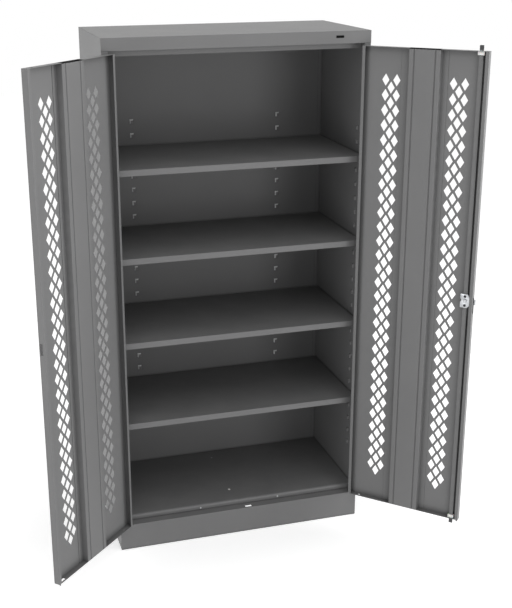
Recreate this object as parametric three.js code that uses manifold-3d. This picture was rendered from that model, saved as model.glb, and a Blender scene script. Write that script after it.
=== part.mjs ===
// A steel storage cabinet: a folded sheet body with four adjustable shelves and two perforated
// doors on continuous hinges. The right door carries a lever handle and a three point latch.
import * as THREE from "three";
import { mergeVertices } from "three/addons/utils/BufferGeometryUtils.js";
import Module from "manifold-3d";

const wasm = await Module();
wasm.setup();

// Driving sizes in millimetres: X to the right, Y to the back, Z up from the floor, and the
// body's front plane at Y = 0.
const WIDTH = 914.4;
const DEPTH = 457.2;
const HEIGHT = 1828.8;
const SHEET = 0.9; // thickness of the folded sheet
const BEND = 0.6; // inner radius of a fold
const BEND_STEPS = 2; // facets of a fold
const FIT = 0.3; // gap between pieces that touch
const OVERRUN = 3; // how far a cutter runs past what it cuts
const ROUND_STEPS = 20; // facets of a large round
const SMALL_STEPS = 10; // facets of a small round
const DOOR_OPEN = (135 * Math.PI) / 180; // how far each door stands open

// Finishes
const paint = new THREE.MeshStandardMaterial({ color: 0x77787a, roughness: 0.5, metalness: 0.1 });
const zinc = new THREE.MeshStandardMaterial({ color: 0xc4c6c8, roughness: 0.35, metalness: 0.9 });
const nylon = new THREE.MeshStandardMaterial({ color: 0xf0f0ec, roughness: 0.55, metalness: 0 });
const chrome = new THREE.MeshStandardMaterial({ color: 0xd8dadc, roughness: 0.2, metalness: 1 });

const cabinet = new THREE.Group();

// The two halves mirror each other. Each is written for the left side of the body.
const halves = { left: new THREE.Group(), right: new THREE.Group() };
halves.right.scale.x = -1;
cabinet.add(halves.left, halves.right);

// A closed geometry as a solid that can be joined and cut.
function solid(geometry) {
  geometry.deleteAttribute("normal");
  geometry.deleteAttribute("uv");
  const merged = mergeVertices(geometry);
  const triVerts = new Uint32Array(merged.index.array);
  return new wasm.Manifold(
    new wasm.Mesh({ numProp: 3, vertProperties: merged.attributes.position.array, triVerts }),
  );
}

// A named mesh of a solid, in its group.
function piece(name, made, material, group) {
  const { vertProperties, triVerts } = made.getMesh();
  const shared = new THREE.BufferGeometry();
  shared.setAttribute("position", new THREE.BufferAttribute(vertProperties, 3));
  shared.setIndex(new THREE.BufferAttribute(triVerts, 1));
  const geometry = shared.toNonIndexed();
  geometry.computeVertexNormals();
  const mesh = new THREE.Mesh(geometry, material);
  mesh.name = name;
  group.add(mesh);
  return mesh;
}

// A block between two values of each axis.
function block([x0, x1], [y0, y1], [z0, z1]) {
  const made = new THREE.BoxGeometry(x1 - x0, y1 - y0, z1 - z0);
  return solid(made.translate((x0 + x1) / 2, (y0 + y1) / 2, (z0 + z1) / 2));
}

// A range of a given size round its middle.
function about(middle, size) {
  return [middle - size / 2, middle + size / 2];
}

const X = new THREE.Vector3(1, 0, 0);
const Y = new THREE.Vector3(0, 1, 0);
const Z = new THREE.Vector3(0, 0, 1);

// A flat outline, or a list of them, carried along an axis. The outline lies in (Y, Z) for x,
// in (X, Z) for y and in (X, Y) for z.
function prism(outline, axis, [from, to]) {
  const made = new THREE.ExtrudeGeometry(outline, { depth: to - from, bevelEnabled: false });
  if (axis === "x") made.applyMatrix4(new THREE.Matrix4().makeBasis(Y, Z, X)).translate(from, 0, 0);
  if (axis === "y") made.applyMatrix4(new THREE.Matrix4().makeBasis(X, Z, Y.clone().negate()));
  if (axis === "y") made.translate(0, to, 0);
  if (axis === "z") made.translate(0, 0, from);
  return solid(made);
}

// The outline of a folded sheet. The points follow one face, and the sheet lies to the left of
// them. Each fold is two arcs round one centre; a third value at a point is its own radius.
function folded(points, thickness = SHEET, steps = BEND_STEPS) {
  const line = points.map(([a, b]) => new THREE.Vector2(a, b));
  const heading = (i) => line[i + 1].clone().sub(line[i]).normalize();
  const left = (way) => new THREE.Vector2(-way.y, way.x);
  const face = [];
  const back = [];
  line.forEach((point, i) => {
    if (i === 0 || i === line.length - 1) {
      const side = left(heading(Math.min(i, line.length - 2)));
      face.push(point);
      back.push(point.clone().addScaledVector(side, thickness));
      return;
    }
    const first = left(heading(i - 1));
    const second = left(heading(i));
    const turn = Math.atan2(first.cross(second), first.dot(second));
    const inner = points[i][2] ?? BEND;
    const near = turn > 0 ? inner + thickness : -inner;
    const far = turn > 0 ? inner : -inner - thickness;
    const bisector = first.clone().add(second).divideScalar(1 + first.dot(second));
    const centre = point.clone().addScaledVector(bisector, near);
    for (let step = 0; step <= steps; step += 1) {
      const normal = first.clone().rotateAround(new THREE.Vector2(), (turn * step) / steps);
      face.push(centre.clone().addScaledVector(normal, -near));
      back.push(centre.clone().addScaledVector(normal, -far));
    }
  });
  return new THREE.Shape([...face, ...back.reverse()]);
}

// A regular outline with corners at a radius.
function polygon(sides, radius, [a, b] = [0, 0]) {
  const corners = Array.from({ length: sides }, (_, i) => (2 * Math.PI * i) / sides);
  return new THREE.Shape(
    corners.map((at) => new THREE.Vector2(a + radius * Math.cos(at), b + radius * Math.sin(at))),
  );
}

// A turned piece round an axis along Y, from [radius, y] points that start and end on the axis.
function turned(points, steps = ROUND_STEPS) {
  const profile = points.map(([radius, y]) => new THREE.Vector2(radius, y));
  return solid(new THREE.LatheGeometry(profile, steps));
}

// Side panels: one sheet each, folded at the front into a jamb with a return, and at the back
// into a flange behind which the back panel lies. Their edges stand on the floor.
const JAMB_WIDTH = 22.2;
const JAMB_RETURN = 24;
const BACK_FLANGE = 15.2;
const HEADER_HEIGHT = 41.8;
const KICK_HEIGHT = 98;
const HEADER_BOTTOM = HEIGHT - HEADER_HEIGHT;
const SIDE = WIDTH / 2; // outer face of a side panel
const SIDE_INNER = SIDE - SHEET;
const BACK_INNER = DEPTH - SHEET;
const JAMB_EDGE = SIDE - JAMB_WIDTH; // face of the jamb's return

// Clip slots: one column in each side panel near the front, and two in the back panel.
const SLOT_WIDTH = 9;
const SLOT_HEIGHT = 7;
const SLOT_PITCH = 50.8;
const SLOT_TOP = 1486;
const SLOT_COUNT = 25;
const SIDE_SLOT_Y = 95;
const BACK_SLOT_INSET = 177.2; // from the body's side to the middle of a back column
const BACK_SLOT_X = SIDE - BACK_SLOT_INSET;

function slotHeights() {
  return Array.from({ length: SLOT_COUNT }, (_, i) => SLOT_TOP - i * SLOT_PITCH);
}

// Rectangles for a column of slots, in the plane of a panel.
function slotColumn(across) {
  return slotHeights().map((up) => {
    const [a0, a1] = about(across, SLOT_WIDTH);
    const [b0, b1] = about(up, SLOT_HEIGHT);
    return new THREE.Shape([
      new THREE.Vector2(a0, b0),
      new THREE.Vector2(a1, b0),
      new THREE.Vector2(a1, b1),
      new THREE.Vector2(a0, b1),
    ]);
  });
}

function sidePanel() {
  const back = BACK_INNER - FIT;
  const outline = folded([
    [-SIDE + BACK_FLANGE, back],
    [-SIDE, back],
    [-SIDE, 0],
    [-JAMB_EDGE, 0],
    [-JAMB_EDGE, JAMB_RETURN],
  ]);
  const lap = SHEET + FIT;
  const past = [-SIDE - OVERRUN, -JAMB_EDGE + OVERRUN];
  const jamb = [-SIDE_INNER, -JAMB_EDGE + OVERRUN];
  let made = prism(outline, "z", [0, HEIGHT - lap]);
  for (const level of [
    [HEADER_BOTTOM - FIT, HEIGHT],
    [-OVERRUN, KICK_HEIGHT + FIT],
  ]) {
    made = made.subtract(block(jamb, [-OVERRUN, JAMB_RETURN + OVERRUN], level));
    made = made.subtract(block(past, [-OVERRUN, lap + BEND], level));
  }
  return made.subtract(prism(slotColumn(SIDE_SLOT_Y), "x", [-SIDE - OVERRUN, -SIDE_INNER + OVERRUN]));
}

piece("side_panel_left", sidePanel(), paint, halves.left);
piece("side_panel_right", sidePanel(), paint, halves.right);

// Back panel: a flat sheet over the flanges of the sides, with two columns of slots.
const backPlate = block([-SIDE, SIDE], [BACK_INNER, DEPTH], [0, HEIGHT]);
const backSlots = prism(
  [...slotColumn(-BACK_SLOT_X), ...slotColumn(BACK_SLOT_X)],
  "y",
  [BACK_INNER - OVERRUN, DEPTH + OVERRUN],
);
piece("back_panel", backPlate.subtract(backSlots), paint, cabinet);

// Top panel: the top sheet is folded down into the header, back into a ledge over the doors and
// down again into the strip that the doors close against. The upper rod enters the ledge's slot.
const STOP_Y = 35;
const STOP_DROP = 19.5;
const STOP_LIP = 8;
const REAR_DROP = 18;
const LATCH_FROM_CENTRE = 29.5; // from the middle of the body to the latch's line
const ROD_Y = 12; // from the front plane to the middle of the rods
const KEEPER_WIDTH = 24;
const KEEPER_DEPTH = 10;
const keeper = [about(LATCH_FROM_CENTRE, KEEPER_WIDTH), about(ROD_Y, KEEPER_DEPTH)];

const topOutline = folded([
  [BACK_INNER - FIT, HEIGHT - REAR_DROP],
  [BACK_INNER - FIT, HEIGHT],
  [0, HEIGHT],
  [0, HEADER_BOTTOM],
  [STOP_Y, HEADER_BOTTOM],
  [STOP_Y, HEADER_BOTTOM - STOP_DROP],
  [STOP_Y + STOP_LIP, HEADER_BOTTOM - STOP_DROP],
]);
let topPanel = prism(topOutline, "x", [-SIDE, SIDE]);
for (const side of [-1, 1]) {
  const ends = [side * (SIDE_INNER - FIT), side * (SIDE + OVERRUN)].sort((a, b) => a - b);
  const corners = [side * (SIDE - BACK_FLANGE - FIT), side * (SIDE + OVERRUN)].sort((a, b) => a - b);
  const under = [HEADER_BOTTOM - STOP_DROP - OVERRUN, HEIGHT - SHEET];
  topPanel = topPanel.subtract(block(ends, [SHEET + BEND, DEPTH], under));
  topPanel = topPanel.subtract(block(corners, [BACK_INNER - SHEET - OVERRUN, DEPTH], under));
}
topPanel = topPanel.subtract(block(...keeper, about(HEADER_BOTTOM, 2 * OVERRUN)));
piece("top_panel", topPanel, paint, cabinet);

// Kick plate: folded back at the floor, and at its top into a ledge with a slot for the lower
// rod and a flange that stands up behind the bottom shelf's front, to where that starts to bend.
const KICK_FOOT = 15;
const BOTTOM_TOP = 117;
const BOTTOM_BEND = 6;
const kickBack = STOP_Y + SHEET + FIT;
const kickTop = BOTTOM_TOP - SHEET - BOTTOM_BEND - FIT;
const kickOutline = folded([
  [kickBack, kickTop],
  [kickBack, KICK_HEIGHT],
  [0, KICK_HEIGHT],
  [0, 0],
  [KICK_FOOT, 0],
]);
let kickPlate = prism(kickOutline, "x", [-SIDE, SIDE]);
for (const side of [-1, 1]) {
  const ends = [side * (SIDE_INNER - FIT), side * (SIDE + OVERRUN)].sort((a, b) => a - b);
  kickPlate = kickPlate.subtract(
    block(ends, [SHEET + BEND, kickBack + OVERRUN], [-OVERRUN, kickTop + OVERRUN]),
  );
}
kickPlate = kickPlate.subtract(block(...keeper, about(KICK_HEIGHT, 2 * OVERRUN)));
piece("kick_plate", kickPlate, paint, cabinet);

// Bottom shelf: fixed between the sides, with a wide bend at the front and flanges round it.
const BOTTOM_FLANGE = 22;
const bottomBack = BACK_INNER - SHEET - 2 * FIT;
const bottomSide = SIDE_INNER - FIT;
const bottomOutline = folded([
  [bottomBack, BOTTOM_TOP - BOTTOM_FLANGE],
  [bottomBack, BOTTOM_TOP],
  [STOP_Y, BOTTOM_TOP, BOTTOM_BEND],
  [STOP_Y, KICK_HEIGHT + BEND + FIT],
]);
let bottomShelf = prism(bottomOutline, "x", [-bottomSide, bottomSide]);
for (const side of [-1, 1]) {
  const wall = [side * (bottomSide - SHEET), side * bottomSide].sort((a, b) => a - b);
  const run = [STOP_Y + BOTTOM_BEND + SHEET, bottomBack - SHEET / 2];
  bottomShelf = bottomShelf.add(block(wall, run, [BOTTOM_TOP - BOTTOM_FLANGE, BOTTOM_TOP - SHEET / 2]));
}
piece("bottom_shelf", bottomShelf, paint, cabinet);

// Four adjustable shelves: pans with a lip all round, each resting on four clips.
const SHELF_COUNT = 4;
const SHELF_LIP = 21.5;
const SHELF_RETURN = 12;
const SHELF_FRONT = 26;
const SLOTS_ABOVE_COUNT = 2; // slots over the one that the top shelf's clips are in
const SHELF_SLOTS = 6; // slots from one shelf to the next
const SHELF_ABOVE_SLOT = 15.1; // from the middle of a slot to the shelf's top
const CLIP_SHEET = 1.6;
const clipRoom = CLIP_SHEET + 2 * FIT; // between a panel and a shelf, where the clip's back goes
const shelfBack = BACK_INNER - clipRoom;
const shelfSide = SIDE_INNER - clipRoom;

function shelf(top) {
  const under = top - SHELF_LIP;
  const outline = folded([
    [shelfBack - SHELF_RETURN, under],
    [shelfBack, under],
    [shelfBack, top],
    [SHELF_FRONT, top],
    [SHELF_FRONT, under],
    [SHELF_FRONT + SHELF_RETURN, under],
  ]);
  let made = prism(outline, "x", [-shelfSide, shelfSide]);
  for (const side of [-1, 1]) {
    const wall = [side * (shelfSide - SHEET), side * shelfSide].sort((a, b) => a - b);
    const run = [SHELF_FRONT + SHEET / 2, shelfBack - SHEET / 2];
    made = made.add(block(wall, run, [under + SHEET / 2, top - SHEET / 2]));
  }
  return made;
}

// Shelf clips: a bent strip with a lug that sits in a slot and a ledge under the shelf's lip.
// A clip is written for the back panel, whose face is at Y = 0, and its slot's middle is at Z = 0.
const CLIP_WIDTH = 16;
const CLIP_LEDGE = 13;
const CLIP_ABOVE = 4.5; // how far the clip's back reaches over the middle of its slot

function clip() {
  const ledge = SHELF_ABOVE_SLOT - SHELF_LIP - FIT - CLIP_SHEET;
  const outline = folded(
    [
      [-FIT - CLIP_LEDGE, ledge],
      [-FIT, ledge],
      [-FIT, CLIP_ABOVE],
    ],
    CLIP_SHEET,
    1,
  );
  const lug = block(
    about(0, SLOT_WIDTH - 2 * FIT),
    [-FIT - CLIP_SHEET / 2, SHEET],
    about(0, SLOT_HEIGHT - 2 * FIT),
  );
  return prism(outline, "x", about(0, CLIP_WIDTH)).add(lug);
}

const clipPlaces = {
  left: { x: -SIDE_INNER, y: SIDE_SLOT_Y, turn: Math.PI / 2 },
  right: { x: SIDE_INNER, y: SIDE_SLOT_Y, turn: -Math.PI / 2 },
  back_left: { x: -BACK_SLOT_X, y: BACK_INNER, turn: 0 },
  back_right: { x: BACK_SLOT_X, y: BACK_INNER, turn: 0 },
};
for (let i = 0; i < SHELF_COUNT; i += 1) {
  const slot = slotHeights()[SLOTS_ABOVE_COUNT + i * SHELF_SLOTS];
  piece(`shelf_${i + 1}`, shelf(slot + SHELF_ABOVE_SLOT), paint, cabinet);
  for (const [place, { x, y, turn }] of Object.entries(clipPlaces)) {
    const made = piece(`shelf_clip_${i + 1}_${place}`, clip(), zinc, cabinet);
    made.position.set(x, y, slot);
    made.rotation.z = turn;
  }
}

// Doors: each turns on an axis just in front of the body. Within its frame, x runs along the
// door from its hinged edge, y from the outer skin to the inside, and z is the height.
const HINGE_GAP = 3; // from the jamb to the door, where the two hinge leaves lie
const CENTRE_GAP = 3; // between the closed doors
const DOOR_UNDER_HEADER = 6.5;
const DOOR_OVER_KICK = 9.5;
const HINGE_FORWARD = 2.3; // from the front plane to the hinge's axis
const DOOR_WIDTH = JAMB_EDGE - HINGE_GAP - CENTRE_GAP / 2;
const DOOR_BOTTOM = KICK_HEIGHT + DOOR_OVER_KICK;
const DOOR_TOP = HEADER_BOTTOM - DOOR_UNDER_HEADER;
const DOOR_THICKNESS = 22.5;
const DOOR_LIP = 11.3;

const doorFrames = {};
const swings = {};
for (const side of ["left", "right"]) {
  const swing = new THREE.Group();
  swing.position.set(-JAMB_EDGE + HINGE_GAP / 2, -HINGE_FORWARD, 0);
  swing.rotation.z = -DOOR_OPEN;
  const frame = new THREE.Group();
  frame.position.set(HINGE_GAP / 2, HINGE_FORWARD, 0);
  swing.add(frame);
  halves[side].add(swing);
  swings[side] = swing;
  doorFrames[side] = frame;
}

// The perforation: two strips of diamonds, each of three columns, the middle one half a row lower.
const DIAMOND_WIDTH = 25.5;
const DIAMOND_HEIGHT = 41;
const ROW_PITCH = 50.9;
const COLUMN_PITCH = 19.4;
const FIRST_ROW_BELOW_TOP = 109.5;
const LAST_ROW_OVER_BOTTOM = 120; // the least that is left under the last row's middle
const STRIP_FROM_HINGE = 98.8;
const STRIP_FROM_FREE_EDGE = 97.8;
const rowsRun = DOOR_TOP - FIRST_ROW_BELOW_TOP - DOOR_BOTTOM - LAST_ROW_OVER_BOTTOM;
const rowCount = 1 + Math.floor(rowsRun / ROW_PITCH);

function diamonds() {
  const outlines = [];
  for (const middle of [STRIP_FROM_HINGE, DOOR_WIDTH - STRIP_FROM_FREE_EDGE]) {
    for (const column of [-1, 0, 1]) {
      const drop = FIRST_ROW_BELOW_TOP + (column === 0 ? ROW_PITCH / 2 : 0);
      for (let row = 0; row < rowCount; row += 1) {
        const [a0, a1] = about(middle + column * COLUMN_PITCH, DIAMOND_WIDTH);
        const [b0, b1] = about(DOOR_TOP - drop - row * ROW_PITCH, DIAMOND_HEIGHT);
        outlines.push(
          new THREE.Shape([
            new THREE.Vector2(a0, (b0 + b1) / 2),
            new THREE.Vector2((a0 + a1) / 2, b0),
            new THREE.Vector2(a1, (b0 + b1) / 2),
            new THREE.Vector2((a0 + a1) / 2, b1),
          ]),
        );
      }
    }
  }
  return prism(outlines, "y", [-OVERRUN, SHEET + OVERRUN]);
}

// The stiffener's flat face on the inside of each door, which the pan's end flanges make room for.
const HAT_WIDTH = 107.5;
const HAT_PAST_MIDDLE = 2.5; // from the door's middle to the stiffener's
const hatNear = (DOOR_WIDTH - HAT_WIDTH) / 2 + HAT_PAST_MIDDLE; // from the hinged edge
const HAT_SLOPE = 4.5; // how far each side wall leans out
const HAT_FOOT_NEAR = 26;
const HAT_FOOT_FAR = 18;
const HAT_BELOW_TOP = 2.5;
const GROOVE_INSET = 17.5; // from the edge of the flat face to the middle of a groove
const GROOVE_WIDTH = 5.5;
const GROOVE_DEPTH = 3;

// Door pans: a sheet folded in along all four edges, with a lip on the two upright ones.
const LATCH_S = DOOR_WIDTH + CENTRE_GAP / 2 - LATCH_FROM_CENTRE; // the latch's line on the door
const GUIDE_SLOT_WIDTH = 21;
const GUIDE_SLOT_DEPTH = 9.4;
const DRAIN_HOLE_S = 42;
const DRAIN_HOLE_RADIUS = 3;
const CORNER_TIP = 4.5; // the free edge's lip ends in a small tip below the pan
const CORNER_TIP_WIDTH = 5.5;

function doorPan() {
  const outline = folded([
    [DOOR_LIP, DOOR_THICKNESS],
    [0, DOOR_THICKNESS],
    [0, 0],
    [DOOR_WIDTH, 0],
    [DOOR_WIDTH, DOOR_THICKNESS],
    [DOOR_WIDTH - DOOR_LIP, DOOR_THICKNESS],
  ]);
  let made = prism(outline, "z", [DOOR_BOTTOM, DOOR_TOP]).subtract(diamonds());
  const across = [SHEET / 2, DOOR_WIDTH - SHEET / 2];
  const inward = [SHEET / 2, DOOR_THICKNESS];
  const slotted = [about(LATCH_S, GUIDE_SLOT_WIDTH), about(ROD_Y, GUIDE_SLOT_DEPTH)];
  for (const level of [
    [DOOR_BOTTOM, DOOR_BOTTOM + SHEET],
    [DOOR_TOP - SHEET, DOOR_TOP],
  ]) {
    const through = about((level[0] + level[1]) / 2, 2 * OVERRUN);
    made = made.add(block(across, inward, level));
    made = made.subtract(block(...slotted, through));
    made = made.subtract(
      prism(polygon(SMALL_STEPS, DRAIN_HOLE_RADIUS, [DRAIN_HOLE_S, ROD_Y]), "z", through),
    );
  }
  const hat = [hatNear - FIT, hatNear + HAT_WIDTH + FIT];
  made = made.subtract(
    block(hat, [SHEET, DOOR_THICKNESS + OVERRUN], [DOOR_TOP - SHEET, DOOR_TOP + OVERRUN]),
  );
  made = made.subtract(
    block(
      hat,
      [DOOR_THICKNESS - SHEET - FIT, DOOR_THICKNESS + OVERRUN],
      [DOOR_BOTTOM - OVERRUN, DOOR_BOTTOM + SHEET + FIT],
    ),
  );
  return made.add(
    block(
      [DOOR_WIDTH - SHEET - CORNER_TIP_WIDTH, DOOR_WIDTH - SHEET],
      [DOOR_THICKNESS - SHEET, DOOR_THICKNESS],
      [DOOR_BOTTOM - CORNER_TIP, DOOR_BOTTOM + SHEET / 2],
    ),
  );
}

// The latch lies in the right door: a tongue through its free edge, two rods, a cam and a handle.
const LATCH_Z = 944.7;
const SPINDLE_SIDE = 8;
const SPINDLE_HOLE_RADIUS = 7;
const TONGUE_REACH = 35.5;
const TONGUE_BELOW = 13.2;
const TONGUE_ABOVE = 5.3;
const TONGUE_Y = [5, 8];
const TONGUE_SLOT_UP = 13.8;
const TONGUE_SLOT_DOWN = 44.4;
const TONGUE_SLOT_Y = [4.5, 15];
const STRIKE_UP = 9;
const STRIKE_DOWN = 30;

// A slot through the free edge, up and down from the latch's height.
function edgeSlot(down, up) {
  return block(
    [DOOR_WIDTH - SHEET - OVERRUN, DOOR_WIDTH + OVERRUN],
    TONGUE_SLOT_Y,
    [LATCH_Z - down, LATCH_Z + up],
  );
}

const spindleHole = prism(
  polygon(ROUND_STEPS, SPINDLE_HOLE_RADIUS, [LATCH_S, LATCH_Z]),
  "y",
  [-OVERRUN, SHEET + OVERRUN],
);
const leftPan = doorPan().subtract(edgeSlot(STRIKE_DOWN, STRIKE_UP));
const rightPan = doorPan().subtract(edgeSlot(TONGUE_SLOT_DOWN, TONGUE_SLOT_UP)).subtract(spindleHole);
piece("door_pan_left", leftPan, paint, doorFrames.left);
piece("door_pan_right", rightPan, paint, doorFrames.right);

// Door stiffeners: a hat section with two grooves, spot welded to the skin between the strips.
function stiffener() {
  const foot = 2 * SHEET + FIT;
  const far = hatNear + HAT_WIDTH;
  const groove = (middle) => [
    [middle + GROOVE_WIDTH / 2, DOOR_THICKNESS],
    [middle, DOOR_THICKNESS - GROOVE_DEPTH],
    [middle - GROOVE_WIDTH / 2, DOOR_THICKNESS],
  ];
  const points = [
    [far + HAT_SLOPE + HAT_FOOT_FAR, foot],
    [far + HAT_SLOPE, foot],
    [far, DOOR_THICKNESS],
    ...groove(far - GROOVE_INSET),
    ...groove(hatNear + GROOVE_INSET),
    [hatNear, DOOR_THICKNESS],
    [hatNear - HAT_SLOPE, foot],
    [hatNear - HAT_SLOPE - HAT_FOOT_NEAR, foot],
  ];
  const over = DOOR_BOTTOM + SHEET + FIT;
  const tab = block(
    [hatNear + BEND + SHEET, far - BEND - SHEET],
    [DOOR_THICKNESS - SHEET, DOOR_THICKNESS],
    [DOOR_BOTTOM, over + SHEET],
  );
  return prism(folded(points, SHEET, 1), "z", [over, DOOR_TOP - HAT_BELOW_TOP]).add(tab);
}
piece("door_stiffener_left", stiffener(), paint, doorFrames.left);
piece("door_stiffener_right", stiffener(), paint, doorFrames.right);

// Continuous hinges: two leaves with alternate knuckles on one long pin. The frame's leaf lies on
// the jamb's return, and the door's leaf on the pan's edge. The origin is the hinge's axis.
const KNUCKLES = 10;
const KNUCKLE_RADIUS = 2.5;
const KNUCKLE_SIDES = 8;
const BORE_RADIUS = 1.75;
const BORE_SIDES = 6;
const PIN_RADIUS = 1.15;
const LEAF_SHEET = 0.9;
const LEAF_DEPTH = 17;
const HINGE_INSET = 2; // from the door's ends to the hinge's ends
const KNUCKLE_GAP = 0.4;
const hingeRun = [DOOR_BOTTOM + HINGE_INSET, DOOR_TOP - HINGE_INSET];
const knucklePitch = (hingeRun[1] - hingeRun[0]) / KNUCKLES;
const leafNear = HINGE_GAP / 2 - FIT - LEAF_SHEET; // from the axis to a leaf's near face
const leafStart = KNUCKLE_RADIUS + FIT;

// A leaf with every other knuckle, from the first (0) or the second (1). It lies on the +X side.
function leaf(first) {
  const across = [leafNear, leafNear + LEAF_SHEET];
  let made = block(across, [leafStart, leafStart + LEAF_DEPTH], hingeRun);
  const barrel = polygon(KNUCKLE_SIDES, KNUCKLE_RADIUS);
  barrel.holes.push(polygon(BORE_SIDES, BORE_RADIUS));
  for (let i = first; i < KNUCKLES; i += 2) {
    const low = hingeRun[0] + i * knucklePitch;
    const run = [low + KNUCKLE_GAP / 2, low + knucklePitch - KNUCKLE_GAP / 2];
    made = made.add(prism(barrel, "z", run));
    made = made.add(block(across, [BORE_RADIUS, leafStart + LEAF_SHEET], run));
  }
  return made;
}

for (const side of ["left", "right"]) {
  const axis = new THREE.Group();
  axis.position.copy(swings[side].position);
  halves[side].add(axis);
  const frameLeaf = piece(`hinge_frame_leaf_${side}`, leaf(0), paint, axis);
  frameLeaf.scale.x = -1;
  piece(`hinge_door_leaf_${side}`, leaf(1), paint, swings[side]);
  piece(`hinge_pin_${side}`, prism(polygon(KNUCKLE_SIDES, PIN_RADIUS), "z", hingeRun), zinc, axis);
}

// Latch rods: flat bars pinned to the cam, narrowed where they run through the guides.
const CAM_ARM = 16.3; // from the spindle's axis to a rod's pin
const ROD_WIDTH = 15;
const ROD_TIP_WIDTH = 13.6;
const ROD_THICKNESS = 3;
const ROD_NARROWED = 48; // length of the narrowed end
const ROD_CHAMFER = 1.5;
const ROD_PAST = 12; // how far a rod's tip enters the body's keeper slot
const PIN_SHANK = 3;
const PIN_HEAD = 4.6;
const PIN_HEAD_HEIGHT = 1;
const rodDepth = about(ROD_Y, ROD_THICKNESS);

function rod(tip, way) {
  const pivot = LATCH_Z + way * CAM_ARM;
  const wide = ROD_WIDTH / 2;
  const narrow = ROD_TIP_WIDTH / 2;
  const outline = new THREE.Shape();
  outline.absarc(LATCH_S, pivot, wide, 0, -way * Math.PI, way > 0);
  outline.lineTo(LATCH_S - wide, tip - way * ROD_NARROWED);
  outline.lineTo(LATCH_S - narrow, tip - way * (ROD_NARROWED - (wide - narrow)));
  outline.lineTo(LATCH_S - narrow, tip - way * ROD_CHAMFER);
  outline.lineTo(LATCH_S - narrow + ROD_CHAMFER, tip);
  outline.lineTo(LATCH_S + narrow - ROD_CHAMFER, tip);
  outline.lineTo(LATCH_S + narrow, tip - way * ROD_CHAMFER);
  outline.lineTo(LATCH_S + narrow, tip - way * (ROD_NARROWED - (wide - narrow)));
  outline.lineTo(LATCH_S + wide, tip - way * ROD_NARROWED);
  const hole = polygon(SMALL_STEPS, PIN_SHANK + FIT, [LATCH_S, pivot]);
  return prism(outline, "y", rodDepth).subtract(prism(hole, "y", about(ROD_Y, 2 * ROD_THICKNESS)));
}
piece("upper_rod", rod(HEADER_BOTTOM + ROD_PAST, 1), paint, doorFrames.right);
piece("lower_rod", rod(KICK_HEIGHT - ROD_PAST + SHEET, -1), paint, doorFrames.right);

// Rod guides: nylon bushes in the slots of the pan's end flanges, wider than the rods because a
// rod leans a little while the cam turns.
const ROD_SWAY = 2.5;
const GUIDE_HEIGHT = 11.5;
const GUIDE_WALL = 1;
const GUIDE_RIM = 0.4;
const guideBore = ROD_TIP_WIDTH + 2 * (ROD_SWAY + FIT);

function guide(flange, way) {
  const inSlot = (more) => [
    about(LATCH_S, GUIDE_SLOT_WIDTH + more),
    about(ROD_Y, GUIDE_SLOT_DEPTH + more),
  ];
  const under = flange - way * (SHEET + FIT);
  const low = [under - way * GUIDE_HEIGHT, under].sort((a, b) => a - b);
  const high = [under - way * GUIDE_WALL, flange + way * GUIDE_WALL].sort((a, b) => a - b);
  const bore = block(
    about(LATCH_S, guideBore),
    about(ROD_Y, ROD_THICKNESS + 2 * FIT),
    about(flange, 2 * (GUIDE_HEIGHT + OVERRUN)),
  );
  return block(...inSlot(2 * GUIDE_RIM), low)
    .add(block(...inSlot(-2 * FIT), high))
    .subtract(bore);
}
piece("upper_rod_guide", guide(DOOR_TOP, 1), nylon, doorFrames.right);
piece("lower_rod_guide", guide(DOOR_BOTTOM, -1), nylon, doorFrames.right);

// Cam: a plate on the spindle that carries both rods, notched on one side and with its other
// corners cut so that it turns inside the door's edge.
const CAM_HALF_HEIGHT = 24.5;
const CAM_HALF_WIDTH = 16.5;
const CAM_TOP_CUT = [7, 12]; // across and up from the corner
const CAM_BOTTOM_CUT = [9, 9];
const CAM_NOTCH_DEPTH = 4;
const CAM_NOTCH_UP = 8.5; // from the spindle's axis to the notch's ends
const CAM_NOTCH_DOWN = 4.7;
const CAM_CORNER = 3;
const CAM_THICKNESS = 3.6;
const camNear = rodDepth[1] + FIT;
const camFar = camNear + CAM_THICKNESS;

function cam() {
  const outline = new THREE.Shape(
    [
      [-CAM_HALF_WIDTH + CAM_CORNER, -CAM_HALF_HEIGHT],
      [CAM_HALF_WIDTH - CAM_BOTTOM_CUT[0], -CAM_HALF_HEIGHT],
      [CAM_HALF_WIDTH, -CAM_HALF_HEIGHT + CAM_BOTTOM_CUT[1]],
      [CAM_HALF_WIDTH, CAM_HALF_HEIGHT - CAM_TOP_CUT[1]],
      [CAM_HALF_WIDTH - CAM_TOP_CUT[0], CAM_HALF_HEIGHT],
      [-CAM_HALF_WIDTH + CAM_CORNER, CAM_HALF_HEIGHT],
      [-CAM_HALF_WIDTH, CAM_HALF_HEIGHT - CAM_CORNER],
      [-CAM_HALF_WIDTH, CAM_NOTCH_UP],
      [-CAM_HALF_WIDTH + CAM_NOTCH_DEPTH, CAM_NOTCH_UP - CAM_NOTCH_DEPTH],
      [-CAM_HALF_WIDTH + CAM_NOTCH_DEPTH, CAM_NOTCH_DEPTH - CAM_NOTCH_DOWN],
      [-CAM_HALF_WIDTH, -CAM_NOTCH_DOWN],
      [-CAM_HALF_WIDTH, -CAM_HALF_HEIGHT + CAM_CORNER],
    ].map(([across, up]) => new THREE.Vector2(LATCH_S + across, LATCH_Z + up)),
  );
  for (const way of [-1, 1]) {
    outline.holes.push(polygon(SMALL_STEPS, PIN_SHANK + FIT, [LATCH_S, LATCH_Z + way * CAM_ARM]));
  }
  return prism(outline, "y", [camNear, camFar]).subtract(squareHole([camNear, camFar]));
}

// A square hole for the spindle through what it carries.
function squareHole([near, far]) {
  const size = SPINDLE_SIDE + 2 * FIT;
  return block(about(LATCH_S, size), [near - OVERRUN, far + OVERRUN], about(LATCH_Z, size));
}
piece("latch_cam", cam(), zinc, doorFrames.right);

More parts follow.
